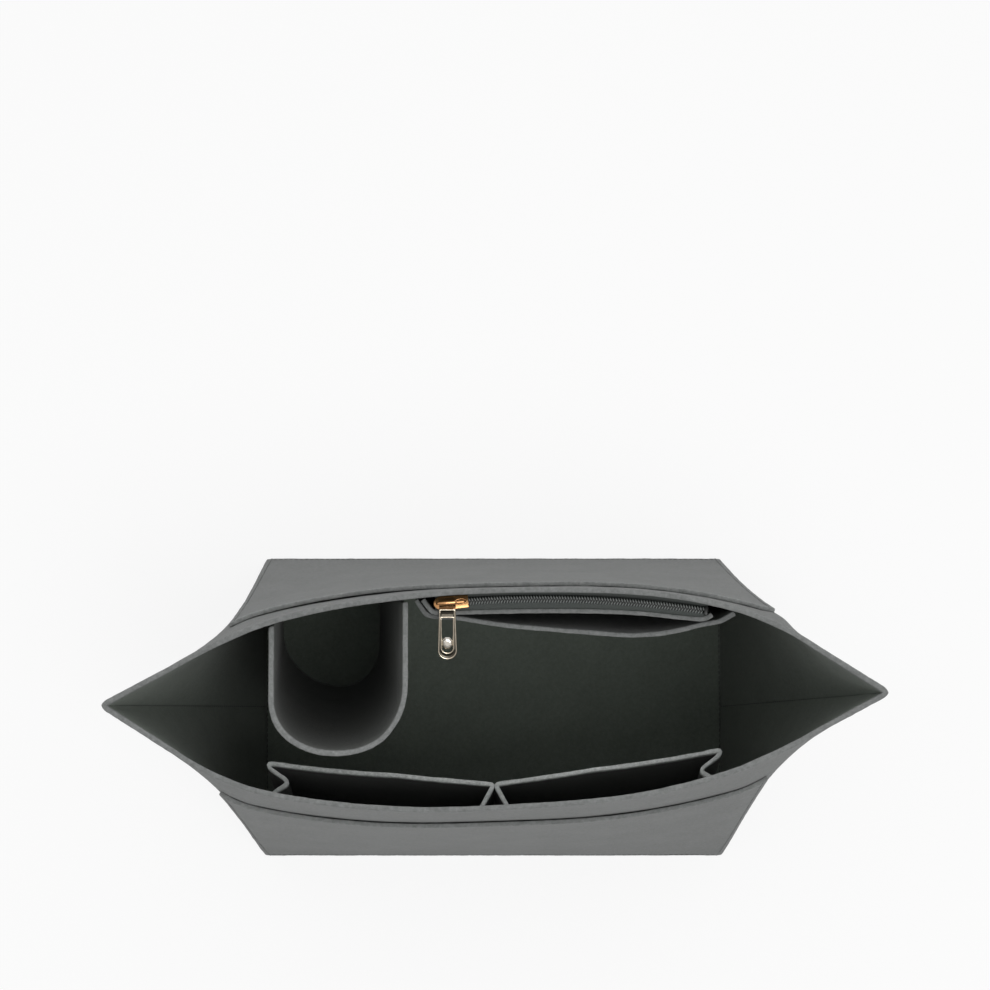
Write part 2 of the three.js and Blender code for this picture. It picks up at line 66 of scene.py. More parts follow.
camera_data = bpy.data.cameras.new("camera")
camera_data.sensor_width = sensor_width
camera_data.lens = pixels_per_slope * sensor_width / picture_width
camera_data.shift_x = 0.5 - point_below_eye[0] / picture_width
camera_data.shift_y = point_below_eye[1] / picture_width - 0.5
camera_data.shift_y -= math.tan(lean) * pixels_per_slope / picture_width
camera_data.clip_end = sight * mm
camera = bpy.data.objects.new("camera", camera_data)
camera.location = eye
camera.rotation_euler = (lean, 0, 0)
bpy.context.scene.collection.objects.link(camera)
bpy.context.scene.camera = camera
bpy.context.scene.view_settings.view_transform = "Standard"


# The table and the light. A plain white top under a white dome, brighter behind than in front, with a
# large soft lamp to the front and right, so that the deep inside of the insert is dark by its own shade
# alone. What the gold mirrors is a dimmer dome, bright only overhead and low down.
class Wire:
    """A socket of a shader tree. The operators on it add Math nodes."""

    def __init__(self, socket):
        self.socket = socket

    def node(self, kind, settings, sockets, out=0):
        tree = self.socket.id_data
        made = tree.nodes.new(kind)
        for name, value in settings.items():
            if name == "stops":
                set_stops(made.color_ramp.elements, value)
            else:
                setattr(made, name, value)
        for name, value in sockets.items():
            plug(value, made.inputs[name])
        return Wire(made.outputs[out])

    def maths(self, operation, first, second=0.0):
        return self.node("ShaderNodeMath", {"operation": operation}, {0: first, 1: second})

    def __add__(self, other):
        return self.maths("ADD", self, other)

    def __sub__(self, other):
        return self.maths("SUBTRACT", self, other)

    def __rsub__(self, other):
        return self.maths("SUBTRACT", other, self)

    def __mul__(self, other):
        return self.maths("MULTIPLY", self, other)

    def __truediv__(self, other):
        return self.maths("DIVIDE", self, other)

    def __abs__(self):
        return self.maths("ABSOLUTE", self)

    __radd__ = __add__
    __rmul__ = __mul__


def set_stops(elements, stops):
    while len(elements) < len(stops):
        elements.new(1)
    for element, (place, level) in zip(elements, stops):
        element.position = place
        element.color = (level, level, level, 1)


def plug(value, socket):
    if isinstance(value, Wire):
        socket.id_data.links.new(value.socket, socket)
    else:
        socket.default_value = value


def start_finish(name):
    """A new material, its surface shader and the place of a point on the piece."""
    material = bpy.data.materials.new(name)
    material.use_nodes = True
    tree = material.node_tree
    place = tree.nodes.new("ShaderNodeTexCoord").outputs["Object"]
    return material, tree.nodes["Principled BSDF"], Wire(place)


table_half = 6000
table_colour = (0.9, 0.9, 0.9, 1)
seen_white = 0.84
table_mesh = bpy.data.meshes.new("table_top")
quarters = ((-1, -1), (1, -1), (1, 1), (-1, 1))
corners = [(x * table_half * mm, y * table_half * mm, 0) for x, y in quarters]
table_mesh.from_pydata(corners, [], [(0, 1, 2, 3)])
table = bpy.data.objects.new("table_top", table_mesh)
bpy.context.scene.collection.objects.link(table)
table_white, table_shader, table_spot = start_finish("table_white")
table_shader.inputs["Base Color"].default_value = table_colour
table_shader.inputs["Roughness"].default_value = 1
table_shader.inputs["Specular IOR Level"].default_value = 0
seen = table_spot.node("ShaderNodeLightPath", {}, {}, out="Is Camera Ray")
plain_white = seen.node("ShaderNodeEmission", {}, {"Color": (1, 1, 1, 1), "Strength": 1.0})
matt_white = Wire(table_shader.outputs["BSDF"])
table_cover = seen.node("ShaderNodeMixShader", {}, {0: seen * seen_white, 1: matt_white, 2: plain_white})
plug(table_cover, table_white.node_tree.nodes["Material Output"].inputs["Surface"])
table_mesh.materials.append(table_white)

# Each pair has a share of the way from level to straight up, and the dome's strength there.
dome_levels = [(0, 1), (0.25, 0.9), (0.45, 0.46), (0.7, 0.46), (0.9, 0.86), (1, 0.84)]
mirrored_levels = [(0, 0.7), (0.3, 0.3), (0.5, 0.3), (0.8, 0.45), (0.93, 1), (1, 1)]
brighter_behind = 0.55
dome = bpy.data.worlds.new("dome")
dome.use_nodes = True
dome_light = dome.node_tree.nodes["Background"]
dome_light.inputs["Color"].default_value = (1, 1, 1, 1)
toward = Wire(dome.node_tree.nodes.new("ShaderNodeTexCoord").outputs["Generated"])
height = toward.node("ShaderNodeSeparateXYZ", {}, {0: toward}, out="Z")
behind = Wire(height.socket.node.outputs["Y"])
glow = height.node("ShaderNodeValToRGB", {"stops": dome_levels}, {0: height})
mirrored = height.node("ShaderNodeValToRGB", {"stops": mirrored_levels}, {0: height})
in_gloss = toward.node("ShaderNodeLightPath", {}, {}, out="Is Glossy Ray")
plain_light = glow * (1 + behind * brighter_behind)
plug(plain_light * (1 - in_gloss) + mirrored * in_gloss, dome_light.inputs["Strength"])
bpy.context.scene.world = dome

lamp_width = 1000
lamp_watts = 11
lamp_place = Vector((400, -600, 1900)) * mm
lamp_aim = Vector((0, 0, 100)) * mm
lamp_data = bpy.data.lights.new("front_lamp", "AREA")
lamp_data.shape = "DISK"
lamp_data.size = lamp_width * mm
lamp_data.energy = lamp_watts
lamp = bpy.data.objects.new("front_lamp", lamp_data)
lamp.location = lamp_place
lamp.rotation_euler = (lamp_aim - lamp_place).to_track_quat("-Z", "Y").to_euler()
bpy.context.scene.collection.objects.link(lamp)

# The two body panels: pressed grey polyester felt, die cut. Each is one piece from side seam to
# side seam, a long face with half of each end, and stands fuller at the foot than at the rim.
body_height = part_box("back_body_panel")[1].z / mm
tip_to_tip = (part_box("back_body_panel")[1].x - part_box("back_body_panel")[0].x) / mm
base_length = 286
base_depth = 179.2
rim_opening = 115.8
rim_shoulder_span = 304
rim_shoulder_depth = 69
rim_roundness = 2.9
shoulder_skew = 6
tip_skew = 3.3
back_hollow = 4.3
tip_round = 3.4
seam_lap = 0.25
body_felt = 2.8
seam_gap = 0.3
base_corner = 5
rim_corner = 22
row_pitch = 4
front, back = -1, 1
left, right = -1, 1
outer_pocket_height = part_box("back_outer_pocket")[1].z / mm
sharp_corner = (back, right)
sharp_corner_reach = 6.5
sharp_corner_radius = 9


def lerp(start, end, share):
    return start + (end - start) * share


def face_half(z):
    """Half the width of a long face at a height."""
    return lerp(base_length, rim_shoulder_span, z / body_height) / 2


def soft_wave(x, z, side):
    """How far the felt of a wall wanders in and out, a little more towards the free rim."""
    long_wave, long_depth, side_shift = 31, 0.45, 1.7
    short_wave, short_depth, slant = 17, 0.22, 45
    slow = np.sin(x / long_wave + side_shift * side) * long_depth
    quick = np.sin(x / short_wave - z / slant + side) * short_depth
    return (slow + quick) * (z / body_height) ** 1.5


def hollow(z, side):
    """How far the back wall draws in between its foot and its rim; the front wall stands straight."""
    rise = z / body_height
    return back_hollow * 4 * rise * (1 - rise) if side == back else 0.0


def outer_face_y(x, z, side):
    """Where the outside of a long face lies, from front to back."""
    rise = z / body_height
    along = np.clip(x / face_half(z), -1, 1)
    arch = (rim_opening - (rim_opening - rim_shoulder_depth) * np.abs(along) ** rim_roundness) / 2
    straight = side * lerp(base_depth / 2, arch, rise) + shoulder_skew * along * rise
    return straight - side * hollow(z, side) + soft_wave(x, z, side)


def inner_face_y(x, z, side):
    """Where its inside lies, square through the felt."""
    slope = (outer_face_y(x + body_felt, z, side) - outer_face_y(x - body_felt, z, side)) / (2 * body_felt)
    return outer_face_y(x, z, side) - side * body_felt * np.hypot(1, slope)


def shifted(path, distance):
    """A plan path moved sideways, to its left for a positive distance."""
    step = np.diff(path, axis=0)
    step /= np.linalg.norm(step, axis=1)[:, None]
    before = np.vstack([step[:1], step])
    after = np.vstack([step, step[-1:]])
    along = before + after
    along /= np.linalg.norm(along, axis=1)[:, None]
    across = np.column_stack([-along[:, 1], along[:, 0]])
    least_spread = 0.5
    spread = np.clip(across[:, 1] * before[:, 0] - across[:, 0] * before[:, 1], least_spread, 1)
    return path + across * (distance / spread)[:, None]


def corner_of(side, end, z):
    """How far out a wall turns into the end, and how widely. One corner is creased along a pocket."""
    crease = face_half(z)
    radius = lerp(base_corner, rim_corner, z / body_height)
    if (side, end) == sharp_corner:
        heights = (0, outer_pocket_height, body_height)
        crease += np.interp(z, heights, (0, sharp_corner_reach, 0))
        radius = np.interp(z, heights, (base_corner, sharp_corner_radius, rim_corner))
    return crease, radius


def panel_path(side, z):
    """A body panel's outer side at a height, from the left seam round to the right one."""
    rise = z / body_height
    gusset_columns = 24
    tip_columns = 8
    corner_columns = 12
    face_columns = 96
    seam_rise = 10
    least_round = 0.03

    def end_of(end):
        crease, radius = corner_of(side, end, z)
        lap = seam_lap * min(1, z / seam_rise)
        seam_x = end * lerp(base_length, tip_to_tip, rise) / 2
        seam = np.array([seam_x, end * tip_skew * rise - side * lap])
        shoulder = np.array([end * crease, outer_face_y(end * crease, z, side)])
        reach = np.linalg.norm(seam - shoulder)
        fold = tip_round * max(rise, least_round) * (shoulder - seam) / reach
        fold_middle = seam + np.array([0, fold[1]])
        fold_end = fold_middle + fold
        share = np.linspace(0, 1, tip_columns)[:-1, None]
        tip = lerp(lerp(seam, fold_middle, share), lerp(fold_middle, fold_end, share), share)
        turn_start = lerp(shoulder, seam, radius / reach)
        face_end = end * (crease - radius)
        turn_end = np.array([face_end, outer_face_y(face_end, z, side)])
        gusset = lerp(fold_end, turn_start, np.linspace(0, 1, gusset_columns)[:-1, None])
        share = np.linspace(0, 1, corner_columns)[:, None]
        turn = lerp(lerp(turn_start, shoulder, share), lerp(shoulder, turn_end, share), share)
        return np.vstack([tip, gusset, turn])

    start, stop = (end * float(np.subtract(*corner_of(side, end, z))) for end in (left, right))
    x = np.linspace(start, stop, face_columns)[1:-1]
    face = np.column_stack([x, outer_face_y(x, z, side)])
    return np.vstack([end_of(left), face, end_of(right)[::-1]])


def inset_panel_path(side, z, distance):
    """The same path moved into the felt, its two tips sliding along the seam."""
    outer = panel_path(side, z)
    inner = shifted(outer, np.full(len(outer), -side * distance))
    for end, tip, near in ((left, 0, 1), (right, -1, -2)):
        along = outer[near] - outer[tip]
        slant = abs(along[1]) / np.linalg.norm(along)
        inner[tip] = outer[tip] - np.array([end * distance / slant, 0])
    return inner


def body_plan(side):
    def plan(z, across):
        return inset_panel_path(side, z, body_felt * across)

    return plan


# A cut edge's section: how far below the edge, and where between the two sides of the felt.
cut_section = [(0.6, 0), (0.22, 0.05), (0.03, 0.22), (0, 0.5), (0.03, 0.78), (0.22, 0.95), (0.6, 1)]


def closed_mesh(name, points, faces, cut=None, inside=None):
    """A mesh in metres from points in millimetres, its faces turned to point outwards."""
    mesh = bpy.data.meshes.new(name)
    mesh.from_pydata((np.asarray(points) * mm).tolist(), [], faces)
    for label, values in (("cut", cut), ("inside", inside)):
        if values is not None:
            marks = mesh.attributes.new(label, "FLOAT", "POINT").data
            marks.foreach_set("value", np.asarray(values, np.float32))
    shape = bmesh.new()
    shape.from_mesh(mesh)
    same_place = 0.0001
    bmesh.ops.remove_doubles(shape, verts=shape.verts, dist=same_place * mm)
    if shape.calc_volume(signed=True) < 0:
        bmesh.ops.reverse_faces(shape, faces=shape.faces)
    for face in shape.faces:
        face.smooth = True
    shape.to_mesh(mesh)
    shape.free()
    piece = bpy.data.objects.new(name, mesh)
    bpy.context.scene.collection.objects.link(piece)
    return piece


def relieve(piece, swell=0.16, grain=0.05):
    """Moves the felt's surface in and out by its own unevenness, most of it at the cut edges."""
    mesh = piece.data
    places, normals = np.empty((2, len(mesh.vertices), 3), np.float32)
    mesh.vertices.foreach_get("co", places.ravel())
    mesh.vertices.foreach_get("normal", normals.ravel())
    cut = np.empty(len(mesh.vertices), np.float32)
    mesh.attributes["cut"].data.foreach_get("value", cut)
    slow_size, quick_size = 11, 2.3
    slow = np.array([noise.noise(Vector(place)) for place in places / mm / slow_size])
    quick = np.array([noise.noise(Vector(place)) for place in places / mm / quick_size])
    push = swell * slow + grain * (1 + 2 * cut) * quick
    places += normals * (push * mm)[:, None]
    mesh.vertices.foreach_set("co", places.ravel())
    mesh.update()


def felt_on_edge(name, low, high, plan):
    """A closed piece of felt that stands on edge. plan gives its plan path at a height, with
    across 0 on one side and 1 on the other."""
    levels = np.linspace(low, high, round((high - low) / row_pitch))[1:-1]
    loop = [(z, 0, 0) for z in levels]
    loop += [(high - drop, across, 1) for drop, across in cut_section]
    loop += [(z, 1, 0) for z in levels[::-1]]
    loop += [(low + drop, 1 - across, 1) for drop, across in cut_section]
    rings = [plan(z, across) for z, across, _ in loop]
    columns = len(rings[0])
    rows = len(loop)
    heights = np.repeat([z for z, _, _ in loop], columns)
    points = np.column_stack([np.vstack(rings), heights])
    cut = np.repeat([edge for _, _, edge in loop], columns)
    inside = np.repeat([across for _, across, _ in loop], columns)

    def at(row, column):
        return (row % rows) * columns + column

    def opposite(row):
        return (2 * len(levels) + len(cut_section) - 1 - row) % rows

    faces = []
    for row in range(rows):
        for column in range(columns - 1):
            here, there = at(row, column), at(row + 1, column)
            faces.append((here, here + 1, there + 1, there))
    half = len(cut_section) // 2
    for row in range(-1 - half, len(levels) + half):
        ring_rows = (row, row + 1, opposite(row + 1), opposite(row))
        for column, turned in ((0, 1), (columns - 1, -1)):
            ring = [at(place, column) for place in ring_rows]
            faces.append(tuple(dict.fromkeys(ring))[::turned])
    piece = closed_mesh(name, points, faces, cut, inside)
    relieve(piece)
    return piece


def reach_along(path):
    """How far along a path each of its points lies."""
    return np.concatenate([[0], np.cumsum(np.linalg.norm(np.diff(path, axis=0), axis=1))])


def sew_in(piece, node, low, high, plan, held, material):
    """Makes a felt piece stand for its CAD solid and works out the size it was cut to."""
    piece.data.materials.append(material)
    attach(piece, "insert")
    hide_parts(node)
    foot, mouth = (float(reach_along(plan(z, 0.5))[-1]) for z in (low, high))
    height = high - low
    area = (foot + mouth) / 2 * height
    height * mm
    area * mm**2


def blend(share, start, end):
    """A colour between two others, each a link or three numbers."""
    start, end = (part if isinstance(part, Wire) else (*part, 1) for part in (start, end))
    return share.node("ShaderNodeMix", {"data_type": "RGBA"}, {0: share, 6: start, 7: end}, out=2)


def scaled(colour, share):
    """A colour made lighter or darker by a link."""
    return share.node("ShaderNodeVectorMath", {"operation": "SCALE"}, {0: colour, "Scale": share})


def marked(place, label):
    """How far a point of the surface is marked with one of the mesh's attributes."""
    return place.node("ShaderNodeAttribute", {"attribute_name": label}, {}, out="Fac")


def raise_surface(shader, relief, strength, height):
    """Lets a shader's surface stand up by a relief, as high as height where it is strongest."""
    settings = {"Strength": strength, "Distance": height * mm, "Height": relief}
    plug(relief.node("ShaderNodeBump", {}, settings, out="Normal"), shader.inputs["Normal"])


def felt_finish(name, colour, edge_light, inside_shade=(1, 1, 1)):
    """Pressed felt, matted and slightly clumped, with painted light on its cut edges and painted shade inside."""
    material, shader, place = start_finish(name)
    tone_depth = 0.3
    thin, middling, stout = (260, 0.02, 1.3), (340, 0.022, 5.1), (430, 0.026, 9.7)
    clump_scale, patch_scale, fluff_scale = 480, 38, 1500
    clump_tone, patch_tone, fibre_tone, drop = 0.9, 0.35, 0.09, 0.05
    fibre_relief, fluff_relief = 0.22, 0.4
    bump_strength, bump_height = 0.75, 0.28

    def cloud(scale, detail=2.0, roughness=0.5, shift=0.0):
        spot = place.node("ShaderNodeVectorMath", {"operation": "ADD"}, {0: place, 1: [shift] * 3})
        return place.node(
            "ShaderNodeTexNoise", {},
            {"Vector": spot, "Scale": scale, "Detail": detail, "Roughness": roughness},
        )

    def fibres(scale, width, shift):
        near = abs(cloud(scale, 1.0, 0.4, shift) - 0.5)
        return place.node(
            "ShaderNodeMapRange", {"interpolation_type": "SMOOTHSTEP"},
            {"Value": near, "From Min": 0.0, "From Max": width, "To Min": 1.0, "To Max": 0.0},
        )

    tangle = fibres(*thin) + fibres(*middling) + fibres(*stout)
    clumps = cloud(clump_scale, 4.0, 0.65)
    patches = cloud(patch_scale)
    cut_edge = marked(place, "cut")
    tone = 0.5 + (clumps - 0.5) * (clump_tone + cut_edge * clump_tone)
    tone = tone + (patches - 0.5) * patch_tone + tangle * fibre_tone - drop
    dark, light = ([part * (1 + way * tone_depth) for part in colour] for way in (-1, 1))
    # The cut edges are painted lighter, as painted light.
    lifted = scaled(blend(tone, dark, light), 1 + cut_edge * edge_light)
    # The inside faces are painted darker and a little green, as painted shade.
    shade = blend(marked(place, "inside") * (1 - cut_edge), (1, 1, 1), inside_shade)
    shaded = place.node("ShaderNodeVectorMath", {"operation": "MULTIPLY"}, {0: lifted, 1: shade})
    plug(shaded, shader.inputs["Base Color"])
    relief = clumps + tangle * fibre_relief + cloud(fluff_scale) * fluff_relief
    raise_surface(shader, relief, bump_strength, bump_height)
    shader.inputs["Roughness"].default_value = 0.95
    shader.inputs["Specular IOR Level"].default_value = 0.2
    shader.inputs["Sheen Weight"].default_value = 0.12
    shader.inputs["Sheen Roughness"].default_value = 0.6
    return material


slots = {entry["slot"]: entry["base_color"] for entry in frame["record"]["materials"]}
# Inside faces painted darker and a little green, as painted shade; cut edges a little lighter, as painted light.
outer_inside_shade = (0.85, 0.95, 0.82)
outer_felt = felt_finish("outer_felt", slots["outer_felt"], edge_light=0.15, inside_shade=outer_inside_shade)

for side, name in ((front, "front"), (back, "back")):
    plan = body_plan(side)
    panel = felt_on_edge(name + "_panel_felt", 0, body_height, plan)
    sew_in(panel, name + "_body_panel", 0, body_height, plan, "stretched", outer_felt)

# The base: one flat piece of the same felt, cut to the outline inside the foot of the walls and tucked
# a little way into them, where it is sewn in.
base_tuck = 0.3
base_inset = body_felt - base_tuck
base_swell = 0.12
base_rows = 44
ahead = inset_panel_path(front, 0, base_inset)
behind = inset_panel_path(back, 0, base_inset)
grid = np.array([lerp(ahead, behind, share) for share in np.linspace(0, 1, base_rows)])
base_columns = grid.shape[1]
base_points = []
base_faces = []
for z, flip in ((0, -1), (body_felt, 1)):
    start = len(base_points)
    base_points += [(x, y, z) for row in grid for x, y in row]
    for row in range(base_rows - 1):
        for column in range(base_columns - 1):
            corner = start + row * base_columns + column
            ring = (corner, corner + 1, corner + base_columns + 1, corner + base_columns)
            base_faces.append(ring[::flip])
layer = base_rows * base_columns
numbers = np.arange(layer).reshape(base_rows, base_columns)
sides = [numbers[0], numbers[1:, -1], numbers[-1, -2::-1], numbers[-2:0:-1, 0]]
edge = np.concatenate(sides).tolist()
for here, there in zip(edge, edge[1:] + edge[:1]):
    base_faces.append((here, there, there + layer, here + layer))
# The whole base is marked inside, so all of it is painted in the felt's painted shade.
base = closed_mesh("base_felt", base_points, base_faces, np.zeros(2 * layer), np.ones(2 * layer))
relieve(base, swell=base_swell)
base.data.materials.append(outer_felt)
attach(base, "insert")
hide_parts("base_panel")

# The outer slip pockets: a flat felt panel on each long face, sewn down its sides and along its foot
# and left open along the top, where it stands a little off the wall, the back one only at its left.
pocket_felt_thickness = 2.4
outer_pocket_span = 281
mouth_flare = {(front, left): 4, (front, right): 4, (back, left): 0, (back, right): 7}
mouth_gap = 0.6
back_mouth_share = 1.3
back_mouth_shuts = (-65, -25)
foot_gap = 0.15
wall_columns = 600
pocket_columns = 104

# A strip's cut ends: how far along the felt, and the share of its thickness there.
cut_end = [(0, 0.6), (0.2, 0.9), (0.6, 1)]
cut_steps = np.array([step for step, _ in cut_end])


def off_wall(x, distance, z, side):
    """The plan points at places x and distances off the inside of a wall."""
    return np.column_stack([x, inner_face_y(x, z, side) - side * distance])


def with_cut_ends(path):
    """Adds points close to both ends, where the cut edge is rounded."""
    steps = cut_steps[1:, None]
    ahead = path[1] - path[0]
    behind = path[-2] - path[-1]
    first = path[0] + steps * ahead / np.linalg.norm(ahead)
    final = path[-1] + steps[::-1] * behind / np.linalg.norm(behind)
    return np.vstack([path[:1], first, path[1:-1], final, path[-1:]])


def end_fullness(count):
    """The share of the felt's thickness at each point of a path, less at its two cut ends."""
    fullness = np.ones(count)
    for place, (_, share) in enumerate(cut_end):
        fullness[place] = fullness[-1 - place] = share
    return fullness


def strip_plan(side, thickness, places_at):
    """The plan of a felt strip whose middle line is given as places x and distances off a wall."""

    def plan(z, across):
        path = with_cut_ends(places_at(z))
        x, distance = shifted(path, thickness * (0.5 - across) * end_fullness(len(path))).T
        return off_wall(x, distance, z, side)

    return plan


def points_at(steps, reach, path):
    """The points of a path at some distances along it, given how far along each of its own points is."""
    return np.column_stack([np.interp(steps, reach, path[:, axis]) for axis in (0, 1)])


def evenly(path, count):
    """The same path with its points at even steps along it."""
    reach = reach_along(path)
    return points_at(np.linspace(0, reach[-1], count), reach, path)


def outer_pocket_plan(side):
    """The plan of an outer pocket: it follows the wall's outside and stands off it towards its mouth."""

    def plan(z, across):
        rise = z / outer_pocket_height
        half_span = face_half(z) - (base_length - outer_pocket_span) / 2
        start, stop = (end * (half_span + mouth_flare[side, end] * rise) for end in (left, right))
        wall = evenly(panel_path(side, z), wall_columns)
        reach = reach_along(wall)
        reach -= np.interp(0, wall[:, 0], reach)
        between = np.linspace(start, stop, pocket_columns)[1:-1]
        steps = np.concatenate([start + cut_steps, between, stop - cut_steps[::-1]])
        path = points_at(steps, reach, wall)
        bow = mouth_gap * rise**2 * (1 - ((2 * steps - start - stop) / (stop - start)) ** 4)
        if side == back:
            bow *= np.interp(steps, back_mouth_shuts, (back_mouth_share, 0))
        middle = foot_gap + pocket_felt_thickness / 2 + bow
        half = pocket_felt_thickness * (0.5 - across) * end_fullness(len(path))
        return shifted(path, side * (middle + half))

    return plan


# The back pocket's cut edges are painted lighter than the rest, as painted light, and its inside darker, as
# painted shade.
back_felt = felt_finish("back_pocket_felt", slots["outer_felt"], edge_light=0.45, inside_shade=outer_inside_shade)
for side, name, felt in ((front, "front", outer_felt), (back, "back", back_felt)):
    plan = outer_pocket_plan(side)
    pocket = felt_on_edge(name + "_outer_pocket_felt", 0, outer_pocket_height, plan)
    node = name + "_outer_pocket"
    sew_in(pocket, node, 0, outer_pocket_height, plan, "stretched", felt)

# The bottle pocket: a felt strip bent into a deep U, its two edges sewn to the back wall. It leans
# with the wall, and its mouth is just under the rim.
floor_top = body_felt + seam_gap
bottle_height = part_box("bottle_pocket")[1].z / mm
bottle_felt = 2.8
bottle_top_width = 71.2
bottle_base_width = 62.4
bottle_top_x = -83
bottle_base_x = -100.3
bottle_depth = 80.6
bottle_roundness = 2.1
bottle_skew = 0.155
bottle_full_x = -58.7
turn_columns = 60
leg_columns = 15


def bottle_places(z):
    """The strip's middle line: a leg off the wall, the turn, and a leg back, shallower at its left."""
    rise = (z - floor_top) / (bottle_height - floor_top)
    half = lerp(bottle_base_width, bottle_top_width, rise) / 2
    middle = lerp(bottle_base_x, bottle_top_x, rise)
    turn_depth = bottle_top_width / 2
    turn_start = bottle_depth - turn_depth
    angle = np.pi * (1 - np.linspace(0, 1, turn_columns))
    across = np.abs(np.cos(angle)) ** (2 / bottle_roundness) * np.sign(np.cos(angle))
    out = np.clip(np.sin(angle), 0, 1) ** (2 / bottle_roundness)
    turn = np.column_stack([middle + half * across, turn_start + turn_depth * out])
    leg = np.linspace(seam_gap + bottle_felt / 2, turn_start, leg_columns, endpoint=False)
    left_leg = np.column_stack([np.full(leg_columns, middle - half), leg])
    right_leg = np.column_stack([np.full(leg_columns, middle + half), leg[::-1]])
    path = np.vstack([left_leg, turn, right_leg])
    path[:, 1] *= 1 - bottle_skew * np.maximum(bottle_full_x - path[:, 0], 0) / bottle_depth
    return path


# The bottle pocket's inside is painted darker, as painted shade, and its cut edges lighter, as painted light.
bottle_inside_shade = (0.7, 0.72, 0.68)
bottle_cloth = felt_finish("bottle_felt", slots["pocket_felt"], edge_light=0.3, inside_shade=bottle_inside_shade)
plan = strip_plan(back, bottle_felt, bottle_places)
bottle = felt_on_edge("bottle_pocket_felt", floor_top, bottle_height, plan)
sew_in(bottle, "bottle_pocket", floor_top, bottle_height, plan, "stretched", bottle_cloth)

# The two pleated slip pockets: felt strips on the front wall, each folded into a flat pleat at its
# outer end and turned back to the wall in the middle, so that their fronts meet in a V.
slip_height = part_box("front_left_slip_pocket")[1].z / mm
slip_half_span = 125
slip_depth = 24.5
slip_middle_depth = 18.6
pleat_width = 10.5
pleat_turn = 3
middle_leg_foot = 10
middle_pinch = 0.25
middle_leg_gap = 0.55
wall_layer = seam_gap + pocket_felt_thickness / 2
pleat_shares = [0.4, 0.55, 0.65, 0.86, 0.97]
panel_shares = [0.986, 1, 0.99, 0.89]
panel_place_shares = [0.87, 0.68, 0.44, 0.24]

# How many points lie between each place of a slip pocket's middle line and the next.
columns_between = [7, 4, 2, 8, 2, 9, 12, 15, 13, 24, 12]


def softened(places, counts, passes=3):
    """A path through the places with its corners eased, as felt turns at a fold."""
    parts = [
        lerp(start, end, np.linspace(0, 1, count, endpoint=False)[:, None])
        for start, end, count in zip(places[:-1], places[1:], counts)
    ]
    path = np.vstack([*parts, places[-1:]])
    for _ in range(passes):
        path[1:-1] = (path[:-2] + 2 * path[1:-1] + path[2:]) / 4
    return path


def front_slip_places(end):
    """The middle line from the wall through the pleat to the leg. Each place has x, then its distance
    off the wall at the foot and at the mouth."""
    layers = [wall_layer + turns * pleat_turn for turns in range(3)]
    fold = slip_half_span - pleat_width
    places = [
        (slip_half_span + pocket_felt_thickness, layers[0], layers[0]),
        ((slip_half_span + fold) / 2, layers[0], slip_depth * pleat_shares[0]),
        (fold, layers[0], slip_depth * pleat_shares[1]),
        (fold, layers[1], slip_depth * pleat_shares[2]),
        (slip_half_span, layers[1], slip_depth * pleat_shares[3]),
        (slip_half_span, layers[2], slip_depth * pleat_shares[4]),
    ]
    for place, share in zip(panel_place_shares, panel_shares):
        places.append((slip_half_span * place, layers[2], slip_depth * share))
    places += [
        (middle_leg_gap, layers[2], slip_middle_depth),
        (middle_leg_foot, layers[0], layers[0]),
    ]
    places = np.array(places)

    def places_at(z):
        rise = (z - floor_top) / (slip_height - floor_top)
        across = end * (places[:, 0] - middle_pinch * rise)
        here = np.column_stack([across, lerp(places[:, 1], places[:, 2], rise)])
        return softened(here, columns_between)[::-end]

    return places_at


# The slip pockets' felt is painted at half its colour, as painted shade deep in the front of the insert; its cut
# edges are painted much lighter, as painted light, and its inside darker still, as painted shade.
slip_painted_shade = 0.5
slip_inside_shade = (0.45, 0.46, 0.44)
slip_shaded_colour = tuple(slip_painted_shade * part for part in slots["pocket_felt"])
slip_felt = felt_finish("slip_felt", slip_shaded_colour, edge_light=6.3, inside_shade=slip_inside_shade)
for end, name in ((left, "left"), (right, "right")):
    plan = strip_plan(front, pocket_felt_thickness, front_slip_places(end))
    slip = felt_on_edge("front_" + name + "_slip_felt", floor_top, slip_height, plan)
    node = "front_" + name + "_slip_pocket"
    sew_in(slip, node, floor_top, slip_height, plan, "folded", slip_felt)

# The back wall's slip pocket and the zip pocket behind it: two felt panels, each sewn to the wall
# at both ends and bowed off it between them.
zip_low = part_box("zip_pocket_panel")[0].z / mm
zip_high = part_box("zip_pocket_panel")[1].z / mm
back_slip_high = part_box("back_slip_pocket")[1].z / mm
zipper_from_wall = 5.5
slider_half_width = 3.8
slider_play = 2.2
back_slip_room = 11.3
zip_mouth_tuck = 1.3
slider_room = zipper_from_wall + slider_half_width + slider_play + pocket_felt_thickness / 2
back_slip_depth = slider_room + back_slip_room - hollow(back_slip_high, back)
zip_depth = slider_room - (hollow(zip_high, back) + zip_mouth_tuck)

# Each pair has a share of a panel's span and the share of its depth there.
zip_shares = [
    (0, 0), (0.014, 0.48), (0.034, 0.84), (0.061, 0.925), (0.14, 0.985),
    (0.48, 1), (0.75, 0.99), (0.89, 0.96), (0.965, 0.84), (1, 0.5),
]
back_slip_shares = [
    (0, 0), (0.014, 0.24), (0.035, 0.45), (0.071, 0.52), (0.124, 0.57), (0.31, 0.82),
    (0.61, 1), (0.737, 0.94), (0.83, 0.74), (0.889, 0.55), (0.932, 0.42), (0.957, 0.33), (1, 0),
]
zip_panel = dict(
    low=zip_low, high=zip_high, foot=wall_layer,
    left=-38.5, right=116.5, depth=zip_depth, shares=zip_shares,
)
back_slip = dict(
    low=floor_top, high=back_slip_high, foot=wall_layer + pocket_felt_thickness + seam_gap,
    left=-42.2, right=129, depth=back_slip_depth, shares=back_slip_shares,
)
panel_columns = 110


